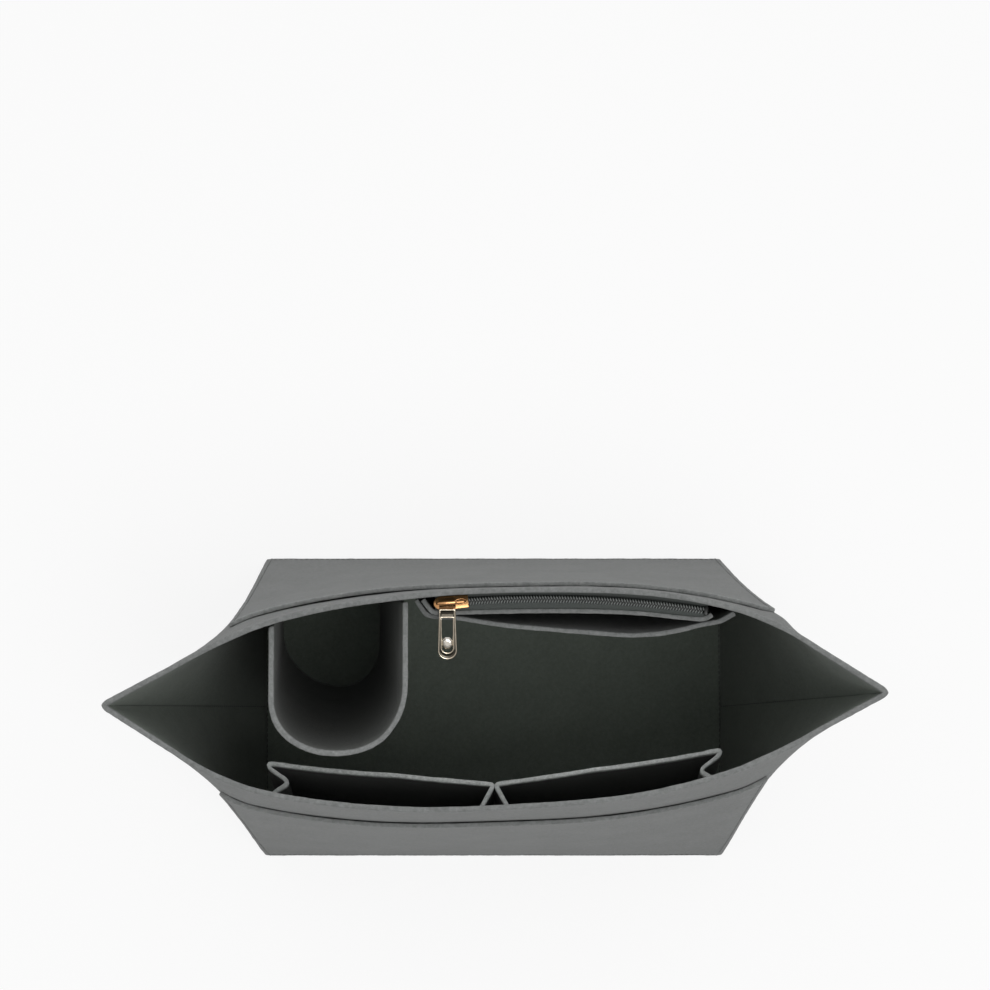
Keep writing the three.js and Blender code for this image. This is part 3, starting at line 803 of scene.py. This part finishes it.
def bowed_places(panel):
    """A smooth line through the panel's shares of its span and depth, closer to the wall at its foot."""
    steps_between = 40

    def places_at(z):
        rise = (z - panel["low"]) / (panel["high"] - panel["low"])
        knots = []
        last = len(panel["shares"]) - 1
        for place, (along, out) in enumerate(panel["shares"]):
            foot = wall_layer if place in (0, last) else panel["foot"]
            distance = lerp(foot, max(wall_layer, panel["depth"] * out), rise)
            knots.append((lerp(panel["left"], panel["right"], along), distance))
        knots = np.array([knots[0], *knots, knots[-1]])
        share = np.linspace(0, last, steps_between * last + 1)
        knot = np.minimum(share.astype(int), last - 1)
        t = (share - knot)[:, None]
        before, start, end, after = (knots[knot + step] for step in range(4))
        pull_in = (end - before) / 2
        pull_out = (after - start) / 2
        bend = 2 * start - 2 * end + pull_in + pull_out
        ease = -3 * start + 3 * end - 2 * pull_in - pull_out
        return evenly(((bend * t + ease) * t + pull_in) * t + start, panel_columns)

    return places_at


# The wall pockets' cut edges are painted a little lighter, as painted light.
wall_pocket_felt = felt_finish("wall_pocket_felt", slots["pocket_felt"], edge_light=0.25)
for node, panel, held in (
    ("zip_pocket_panel", zip_panel, "hung"),
    ("back_slip_pocket", back_slip, "stretched"),
):
    plan = strip_plan(back, pocket_felt_thickness, bowed_places(panel))
    piece = felt_on_edge(node.replace("pocket", "felt"), panel["low"], panel["high"], plan)
    sew_in(piece, node, panel["low"], panel["high"], plan, held, wall_pocket_felt)

# The zipper: two woven tapes with a nylon coil on each, lying level behind the pocket's panel. It
# follows the arc that the slider turns along, its tapes are sewn to the wall and the panel, and a nylon
# stop, painted near-black as shade, closes its right end.
joints = {joint["name"]: joint for joint in frame["joints"]}
zipper_centre = np.array(joints["slider_travel"]["pos_m"][:2]) / mm
zipper_height = joints["slider_travel"]["pos_m"][2] / mm
pull_hinge = np.array(joints["pull_swing"]["pos_m"]) / mm
pull_shift = 2
slider_reach = pull_hinge[:2] - zipper_centre
zipper_radius = math.sqrt(slider_reach @ slider_reach - pull_shift**2)
chain_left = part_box("zipper_coil_front")[0].x / mm
chain_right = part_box("zipper_coil_front")[1].x / mm
tape_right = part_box("zipper_tape_front")[1].x / mm
tape_thickness = 0.8
tape_overhang = 1
tape_tuck = 0.4
tape_columns = 180
tape_rows = 15
chain_slit = 1.2

# How far down each tape hangs at shares of the way from its slit to its sewn edge.
front_sag = ((0, 0.5, 1), (0, 0.3, 0.9))
back_sag = ((0, 0.1, 0.25, 0.36, 0.48, 0.75, 1), (0, 2, 3.5, 2.5, 0, -3.5, -6))


def zipper_point(x, outwards):
    """The places at some x on the zipper's arc, or on a line at a distance outwards of it."""
    turn = np.arcsin((x - zipper_centre[0]) / zipper_radius)
    aim = np.column_stack([np.sin(turn), np.cos(turn)])
    return zipper_centre + (zipper_radius + outwards) * aim


def flat_strip(name, first, second, low, high, across=7, sag=((0, 1), (0, 0))):
    """A closed strip between two plan edges that have as many points, hung down by its sag."""
    count = len(first)
    shares = np.linspace(0, 1, across)
    section = [(share, high) for share in shares] + [(share, low) for share in shares[::-1]]
    points = []
    for share, z in section:
        points += [(x, y, z - np.interp(share, *sag)) for x, y in lerp(first, second, share)]
    rows = len(section)
    faces = []
    for row in range(rows):
        here, there = row * count, (row + 1) % rows * count
        faces += [(here + c, here + c + 1, there + c + 1, there + c) for c in range(count - 1)]
    for row in range(across - 1):
        ring = [row, row + 1, rows - 2 - row, rows - 1 - row]
        faces.append(tuple(place * count for place in ring))
        faces.append(tuple(place * count + count - 1 for place in ring))
    return closed_mesh(name, points, faces)


def noise_on(place, scale, detail):
    """Cloudy noise over a piece, with about scale clouds to the metre."""
    return place.node("ShaderNodeTexNoise", {}, {"Vector": place, "Scale": scale, "Detail": detail})


def woven_tape(name, colour):
    """Close ribbed weave: ribs run across the tape, each crossed by fine threads, shaded in its hollows."""
    rib_pitch, thread_pitch = 0.62, 0.5
    fluff_scale, fluff_relief = 900, 0.5
    painted_hollow_shade, painted_crown_light = 0.72, 1.3
    bump_strength, bump_height = 0.7, 0.15
    material, shader, place = start_finish(name)
    axes = place.node("ShaderNodeSeparateXYZ", {}, {0: place})
    ribs = place.maths("SINE", axes * (2 * math.pi / (rib_pitch * mm)))
    depth = Wire(axes.socket.node.outputs["Y"])
    threads = place.maths("SINE", depth * (2 * math.pi / (thread_pitch * mm)))
    relief = ribs * threads * 0.5 + 0.5 + noise_on(place, fluff_scale, 3) * fluff_relief
    dark, light = ([part * share for part in colour] for share in (painted_hollow_shade, painted_crown_light))
    # The colour follows the relief: painted shade in the hollows, painted highlight on the crowns.
    plug(blend(relief - fluff_relief / 2, dark, light), shader.inputs["Base Color"])
    raise_surface(shader, relief, bump_strength, bump_height)
    shader.inputs["Roughness"].default_value = 0.85
    shader.inputs["Specular IOR Level"].default_value = 0.25
    return material


tape_cloth = woven_tape("woven_tape", slots["zipper_tape"])
tape_x = np.linspace(chain_left - tape_overhang, tape_right, tape_columns)
panel_back = strip_plan(back, pocket_felt_thickness, bowed_places(zip_panel))(zipper_height, 1)
wall_edge = off_wall(tape_x, -body_felt / 2, zipper_height, back)
panel_edge = np.column_stack([tape_x, np.interp(tape_x, *panel_back.T) - tape_tuck])
for side, name, sewn_edge, sag in (
    (front, "front", panel_edge, front_sag),
    (back, "back", wall_edge, back_sag),
):
    slit_edge = zipper_point(tape_x, side * chain_slit / 2)
    low = zipper_height - tape_thickness / 2
    high = low + tape_thickness
    tape = flat_strip("tape_" + name, slit_edge, sewn_edge, low, high, tape_rows, sag)
    tape.data.materials.append(tape_cloth)
    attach(tape, "insert")
    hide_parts("zipper_tape_" + name)
    flat_reach = np.linalg.norm(slit_edge - sewn_edge, axis=1).mean()


def drawn_yarn(name, colour, shade_height=None, highlight_height=None):
    """Drawn yarn with a dull gloss. Between two heights it goes from dark painted shade to pale painted highlight.
    """
    dark_share, light_share, sunk_share, highlight_level = 0.7, 1.6, 0.15, 3.2
    wear_scale, wear_mix = 700, 0.3
    gloss, gloss_change = 0.32, 0.2
    material, shader, place = start_finish(name)
    wear = noise_on(place, wear_scale, 2)
    dark, light = ([part * share for part in colour] for share in (dark_share, light_share))
    drawn = blend(wear, dark, light)
    if shade_height is not None:
        height = place.node("ShaderNodeSeparateXYZ", {}, {0: place}, out="Z")
        # Painted shade at the lower height, painted highlight at the upper.
        highlight_share = (height - shade_height * mm) / ((highlight_height - shade_height) * mm)
        sunk, top = ([min(part * share, 1) for part in colour] for share in (sunk_share, highlight_level))
        drawn = blend(wear * wear_mix, blend(highlight_share, sunk, top), drawn)
    plug(drawn, shader.inputs["Base Color"])
    plug(gloss + wear * gloss_change, shader.inputs["Roughness"])
    return material


def repeat_tree(name):
    """Sets one rounded bar after another along a line: Pitch apart, of a Size and a Turn."""
    bar_sides, bar_rings, bar_radius = 8, 6, 0.5
    tree = bpy.data.node_groups.new(name, "GeometryNodeTree")
    sockets = {}
    for label, kind, value in (
        ("Geometry", "NodeSocketGeometry", None), ("Pitch", "NodeSocketFloat", mm),
        ("Size", "NodeSocketVector", (mm, mm, mm)), ("Turn", "NodeSocketFloat", 0.0),
        ("Finish", "NodeSocketMaterial", None),
    ):
        socket = tree.interface.new_socket(label, in_out="INPUT", socket_type=kind)
        if value is not None:
            socket.default_value = value
        sockets[label] = socket.identifier
    tree.interface.new_socket("Geometry", in_out="OUTPUT", socket_type="NodeSocketGeometry")

    def add(kind, settings, links):
        made = tree.nodes.new(kind)
        for label, value in settings.items():
            setattr(made, label, value)
        for label, value in links.items():
            if isinstance(value, bpy.types.NodeSocket):
                tree.links.new(value, made.inputs[label])
            else:
                made.inputs[label].default_value = value
        return made.outputs

    given = tree.nodes.new("NodeGroupInput").outputs
    line = add("GeometryNodeMeshToCurve", {}, {"Mesh": given["Geometry"]})["Curve"]
    even = add("GeometryNodeResampleCurve", {"mode": "LENGTH"}, {"Curve": line, "Length": given["Pitch"]})
    along = add("GeometryNodeInputTangent", {}, {})["Tangent"]
    aimed = add("FunctionNodeAlignRotationToVector", {"axis": "X"}, {"Vector": along})["Rotation"]
    turn = add("ShaderNodeCombineXYZ", {}, {"Z": given["Turn"]})["Vector"]
    turned = add(
        "FunctionNodeRotateRotation", {"rotation_space": "LOCAL"}, {"Rotation": aimed, "Rotate By": turn},
    )
    bar = add(
        "GeometryNodeMeshUVSphere", {},
        {"Segments": bar_sides, "Rings": bar_rings, "Radius": bar_radius},
    )["Mesh"]
    sized = add("GeometryNodeTransform", {}, {"Geometry": bar, "Scale": given["Size"]})["Geometry"]
    placed = add(
        "GeometryNodeInstanceOnPoints", {},
        {"Points": even["Curve"], "Instance": sized, "Rotation": turned["Rotation"]},
    )["Instances"]
    real = add("GeometryNodeRealizeInstances", {}, {"Geometry": placed})["Geometry"]
    smooth = add("GeometryNodeSetShadeSmooth", {}, {"Geometry": real})["Geometry"]
    covered = add("GeometryNodeSetMaterial", {}, {"Geometry": smooth, "Material": given["Finish"]})
    add("NodeGroupOutput", {}, {"Geometry": covered["Geometry"]})
    return tree, sockets


repeated, repeat_sockets = repeat_tree("bars_along_a_line")


def bars_along(name, lines, pitch, size, finish, turn=0.0):
    """A plain mesh of bars along open lines of points."""
    mesh = bpy.data.meshes.new(name + "_lines")
    points = np.vstack(lines) * mm
    starts = np.cumsum([0] + [len(line) for line in lines])
    edges = [(i, i + 1) for start, end in zip(starts, starts[1:]) for i in range(start, end - 1)]
    mesh.from_pydata(points.tolist(), edges, [])
    guide = bpy.data.objects.new(name + "_guide", mesh)
    bpy.context.scene.collection.objects.link(guide)
    bars = guide.modifiers.new("bars", "NODES")
    bars.node_group = repeated
    bars[repeat_sockets["Pitch"]] = pitch * mm
    bars[repeat_sockets["Size"]] = tuple(part * mm for part in size)
    bars[repeat_sockets["Turn"]] = turn
    bars[repeat_sockets["Finish"]] = finish
    evaluated = guide.evaluated_get(bpy.context.evaluated_depsgraph_get())
    piece = bpy.data.objects.new(name, bpy.data.meshes.new_from_object(evaluated))
    bpy.data.objects.remove(guide)
    bpy.context.scene.collection.objects.link(piece)
    return piece


coil_low = zipper_height + tape_thickness / 2
# The teeth are painted dark at their foot, as painted shade, and pale at their top, as painted highlight.
shade_rise, highlight_rise = 0.5, 1.4
coil_nylon = drawn_yarn("coil_nylon", slots["zipper_coil"], coil_low + shade_rise, coil_low + highlight_rise)
tooth_pitch = 1.5
tooth_size = (0.72, 2.5, 1.3)
tooth_slant = math.radians(22)
tooth_rise = 0.75
tooth_offset = 0.35
tooth_from_middle = chain_slit / 2 + tooth_offset
row_columns = 200
for side, name, start in ((front, "front", 0), (back, "back", tooth_pitch / 2)):
    row_x = np.linspace(chain_left + start, chain_right - tooth_pitch / 2 + start, row_columns)
    row_z = np.full(row_columns, coil_low + tooth_rise)
    row = np.column_stack([zipper_point(row_x, side * tooth_from_middle), row_z])
    coil = bars_along("coil_" + name, [row], tooth_pitch, tooth_size, coil_nylon, side * tooth_slant)
    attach(coil, "insert")
    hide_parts("zipper_coil_" + name)

# The cord inside the coil: one near-black strip under both rows of teeth, a little sunk into the
# tapes, its near-black painted as the shade between the teeth.
core_half = 1.5
core_sink = 0.3
core_rise = 0.5
core_columns = 160
core_shade_colour = (0.012, 0.013, 0.012)
core_x = np.linspace(chain_left, chain_right, core_columns)
core_edges = (zipper_point(core_x, way * core_half) for way in (-1, 1))
core = flat_strip("coil_core", *core_edges, coil_low - core_sink, coil_low + core_rise)
cord_painted_shade = drawn_yarn("cord_painted_shade", core_shade_colour)
core.data.materials.append(cord_painted_shade)
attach(core, "insert")


def eased_copy(name, node, width, finish, body, steps=2):
    """A rigid piece made from its CAD solid, with its sharp edges eased by a small bevel."""
    same_place = 0.01
    flat_turn, sharp_turn = math.radians(2), math.radians(28)
    mesh = frame["nodes"][node].data.copy()
    mesh.name = name
    shape = bmesh.new()
    shape.from_mesh(mesh)
    bmesh.ops.remove_doubles(shape, verts=shape.verts, dist=same_place * mm)
    bmesh.ops.dissolve_limit(shape, angle_limit=flat_turn, verts=shape.verts, edges=shape.edges)
    sharp = [edge for edge in shape.edges if edge.calc_face_angle(0) > sharp_turn]
    bmesh.ops.bevel(
        shape, geom=sharp, offset=width * mm, segments=steps, profile=0.5, affect="EDGES",
        clamp_overlap=True,
    )
    for face in shape.faces:
        face.smooth = True
    shape.to_mesh(mesh)
    shape.free()
    mesh.materials.clear()
    mesh.materials.append(finish)
    piece = bpy.data.objects.new(name, mesh)
    bpy.context.scene.collection.objects.link(piece)
    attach(piece, body)
    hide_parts(node)
    return piece


# The stop is in the same near-black, painted as shade.
eased_copy("end_stop", "zipper_end_stop", 0.3, cord_painted_shade, "insert")


# The slider: cast zinc in warm gold plate, two plates round the coil, a bridge over the upper one and
# a small oval ring level with the bridge's top. It is threaded onto the coil before the stop is fixed.
def gold_plate(name, colour, roughness, recess_dark_reflection=0.4):
    """Polished plate over a cast piece: faint waves and hairlines in its gloss, a painted dark reflection in its
    recess.
    """
    deep_shares = (0.82, 0.74, 0.62)
    wave_scale, hair_scale = 260, 2600
    wave_gloss, hair_gloss = 0.12, 0.05
    hair_relief = 0.1
    bump_strength, bump_height = 0.25, 0.1
    material, shader, place = start_finish(name)
    waves = noise_on(place, wave_scale, 2)
    hairs = noise_on(place, hair_scale, 3)
    plug(roughness + waves * wave_gloss + hairs * hair_gloss, shader.inputs["Roughness"])
    deep = [part * share for part, share in zip(colour, deep_shares)]
    plated = blend(waves, deep, colour)
    plug(scaled(plated, 1 - marked(place, "inside") * (1 - recess_dark_reflection)), shader.inputs["Base Color"])
    raise_surface(shader, waves + hairs * hair_relief, bump_strength, bump_height)
    shader.inputs["Metallic"].default_value = 1
    return material


warm_shares = (0.72, 0.67, 0.6)
warm_colour = [part * share for part, share in zip(slots["slider_gold"], warm_shares)]
warm_gold = gold_plate("warm_gold", warm_colour, 0.1)
eased_copy("slider_plates", "slider_body", 0.32, warm_gold, "slider", steps=3)
eased_copy("slider_loop", "slider_bridge", 0.3, warm_gold, "slider", steps=3)

ring_centre = 5.3
ring_half_length = 3.1
ring_half_width = 1.35
ring_wire = 0.42
bridge_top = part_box("slider_bridge")[1].z / mm
hinge_axis = joints["pull_swing"]["axis"]
slider_turn = math.atan2(-hinge_axis[1], -hinge_axis[0])
slider_ahead = np.array([math.cos(slider_turn), math.sin(slider_turn)])
slider_left = np.array([-slider_ahead[1], slider_ahead[0]])
slider_middle = pull_hinge[:2] + pull_shift * slider_ahead
ring_steps = 32
wire_sides = 8


def tube_faces(rings, size):
    """The faces of a closed tube of rings of points, the last of which meets the first."""
    faces = []
    for ring in range(rings):
        here, there = ring * size, (ring + 1) % rings * size
        for place in range(size):
            after = (place + 1) % size
            faces.append((here + place, there + place, there + after, here + after))
    return faces


ring_points = []
for turn in np.linspace(0, 2 * math.pi, ring_steps, endpoint=False):
    for roll in np.linspace(0, 2 * math.pi, wire_sides, endpoint=False):
        ahead = ring_centre + (ring_half_length + ring_wire * math.cos(roll)) * math.cos(turn)
        sideways = (ring_half_width + ring_wire * math.cos(roll)) * math.sin(turn)
        x, y = slider_middle + ahead * slider_ahead + sideways * slider_left
        ring_points.append((x, y, bridge_top + ring_wire * math.sin(roll)))
oval_ring = closed_mesh("slider_oval_ring", ring_points, tube_faces(ring_steps, wire_sides))
oval_ring.data.materials.append(warm_gold)
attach(oval_ring, "slider")

# The pull: a ring round the bridge's bar, a long tab with raised rims, and a faceted stud in its slot.
# All are cast zinc: the ring in the slider's warm gold, the tab in a paler one, the stud nearly white.
pale_share = 1.2
pale_colour = [pale_share * part for part in slots["pull_gold"]]
# Its sunk face is painted nearly black, as a painted dark reflection.
pale_gold = gold_plate("pale_gold", pale_colour, 0.12, recess_dark_reflection=0.12)
eased_copy("pull_head", "pull_link", 0.25, warm_gold, "pull", steps=3)
pull_droop = math.radians(25)
tab_top = -3.7
tab_end = -33
tab_top_half = 4.4
tab_end_half = 5.2
tab_thickness = 1.3
slot_half = 2.9
slot_foot = 4.1
slot_length = 20
slot_end = tab_end + slot_foot
slot_top = slot_end + slot_length
rim_width = 0.75
rim_rise = 0.28
rim_ease = 0.22


def long_ring(top, end, top_half, end_half, margin):
    """A ring of points with a flat top and a round end, grown by a margin."""
    arc_columns, side_columns, top_columns = 25, 13, 10
    top, top_half, end_half = top + margin, top_half + margin, end_half + margin
    middle = end - margin + end_half
    turn = np.linspace(np.pi, 2 * np.pi, arc_columns)
    arc = np.column_stack([end_half * np.cos(turn), middle + end_half * np.sin(turn)])
    share = np.linspace(0, 1, side_columns)[:, None]
    left_side = lerp(np.array([-top_half, top]), arc[0], share[:-1])
    right_side = lerp(arc[-1], np.array([top_half, top]), share[1:])
    top_side = lerp(right_side[-1], left_side[0], np.linspace(0, 1, top_columns)[1:-1, None])
    return np.vstack([left_side, arc, right_side, top_side])


# The tab's rings of points, round its underside: whose ring, how far out, and the height. Between the
# raised rims of the tab and of its slot the face lies lower.
half_tab = tab_thickness / 2
low_edge = half_tab - rim_ease
low_face = half_tab - rim_rise
tab_rings = [
    ("tab", 0, -low_edge), ("tab", 0, low_edge), ("tab", -rim_ease, half_tab),
    ("tab", -rim_width, half_tab), ("tab", -rim_width - rim_ease, low_face),
    ("slot", rim_width + rim_ease, low_face), ("slot", rim_width, half_tab), ("slot", rim_ease, half_tab),
    ("slot", 0, low_edge), ("slot", 0, -low_edge), ("slot", rim_ease, -half_tab),
    ("tab", -rim_ease, -half_tab),
]
outlines = {
    "tab": (tab_top, tab_end, tab_top_half, tab_end_half),
    "slot": (slot_top, slot_end, slot_half, slot_half),
}
tab_points = []
for outline, margin, z in tab_rings:
    ring = long_ring(*outlines[outline], margin)
    tab_points += [(x, y, z) for x, y in ring]
tab_faces = tube_faces(len(tab_rings), len(ring))
# The tab's sunk face is marked to be painted dark, as a painted dark reflection.
tab_sunk = np.repeat([z == low_face for _, _, z in tab_rings], len(ring))

stud_facets = 8
stud_half = 3.1
stud_length = 3.6
stud_margin = 1.9
stud_middle = slot_end + stud_length + stud_margin
stud_colour = (0.96, 0.94, 0.9)
stud_polish = gold_plate("stud_polish", stud_colour, 0.28)
stud_width_shares = [0.55, 0.95, 1, 0.72, 0.4]
stud_heights = [-0.75, -0.4, 0.1, 0.85, 1.05]
stud_points = []
for share, z in zip(stud_width_shares, stud_heights):
    for facet in range(stud_facets):
        turn = 2 * math.pi * (facet + 0.5) / stud_facets
        x, y = stud_half * share * math.cos(turn), stud_length * share * math.sin(turn)
        stud_points.append((x, stud_middle + y, z))
stud_foot = range(stud_facets)
stud_top = range(len(stud_points) - stud_facets, len(stud_points))
stud_faces = [tuple(stud_foot)[::-1], tuple(stud_top)]
for here in range(len(stud_points) - stud_facets):
    after = here + 1 if (here + 1) % stud_facets else here + 1 - stud_facets
    stud_faces.append((here, after, after + stud_facets, here + stud_facets))
stud_sunk = np.zeros(len(stud_points))

tab_across = np.array([1, 0, 0])
tab_out = np.array([0, math.cos(pull_droop), math.sin(pull_droop)])
tab_up = np.array([0, -math.sin(pull_droop), math.cos(pull_droop)])
for name, node, points, faces, sunk, finish, is_smooth in (
    ("pull_tab_plate", "pull_tab", tab_points, tab_faces, tab_sunk, pale_gold, True),
    ("pull_stud_cap", "pull_stud", stud_points, stud_faces, stud_sunk, stud_polish, False),
):
    set_out = [pull_hinge + x * tab_across + y * tab_out + z * tab_up for x, y, z in points]
    piece = closed_mesh(name, set_out, faces, inside=sunk)
    for face in piece.data.polygons:
        face.use_smooth = is_smooth
    piece.data.materials.append(finish)
    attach(piece, "pull")
    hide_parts(node)

# The stitching: grey polyester thread, lockstitched about three millimetres to the stitch. It holds the
# outer pockets at their sides and foot, the zip pocket at its mouth, and the seams of ends and base.
thread_colour = (0.035, 0.037, 0.036)
thread = drawn_yarn("grey_thread", thread_colour)
stitch_pitch = 3.2
stitch_size = (2.8, 0.6, 0.5)
stitch_margin = 4
pocket_line_margin = 1.5
zip_line_drop = 3
foot_line_skips = 4
zip_line_skips = 6
seam_clear = 0.1
seam_foot_margin = 1
seam_top_margin = 4
base_line_inset = 0.4
base_line_margin = 1
base_line_rise = 0.15
high_line_columns = 90
base_line_columns = 60


def level_line(path, z):
    """A plan path laid level at a height."""
    return np.column_stack([path, np.full(len(path), z)])


def inner_seam(z, tip):
    """Where the two body panels meet on the inside of an end."""
    first, second = (inset_panel_path(side, z, body_felt + seam_clear)[tip] for side in (front, back))
    return (first + second) / 2


lines = []
for side in (front, back):
    plan = outer_pocket_plan(side)
    levels = np.linspace(pocket_line_margin, outer_pocket_height - pocket_line_margin, high_line_columns)
    for end in (left, right):
        line = []
        for z in levels:
            path = plan(z, 0)
            reach = reach_along(path)
            spot = stitch_margin if end == left else reach[-1] - stitch_margin
            line.append(points_at([spot], reach, path)[0])
        lines.append(np.column_stack([line, levels]))
    foot_line = plan(stitch_margin, 0)[foot_line_skips:-foot_line_skips]
    lines.append(level_line(foot_line, stitch_margin))
panel_front = strip_plan(back, pocket_felt_thickness, bowed_places(zip_panel))
zip_line_z = zip_high - zip_line_drop
zip_line = panel_front(zip_line_z, 0)[zip_line_skips:-zip_line_skips]
lines.append(level_line(zip_line, zip_line_z))
for end, tip in ((left, 0), (right, -1)):
    levels = np.linspace(body_felt + seam_foot_margin, body_height - seam_top_margin, high_line_columns)
    lines.append(np.column_stack([[inner_seam(z, tip) for z in levels], levels]))
    along_x = np.full(base_line_columns, end * (base_length / 2 - body_felt - base_line_inset))
    along_y = np.linspace(-1, 1, base_line_columns) * (base_depth / 2 - body_felt - base_line_margin)
    lines.append(level_line(np.column_stack([along_x, along_y]), body_felt + base_line_rise))
stitches = bars_along("stitches", lines, stitch_pitch, stitch_size, thread)
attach(stitches, "insert")
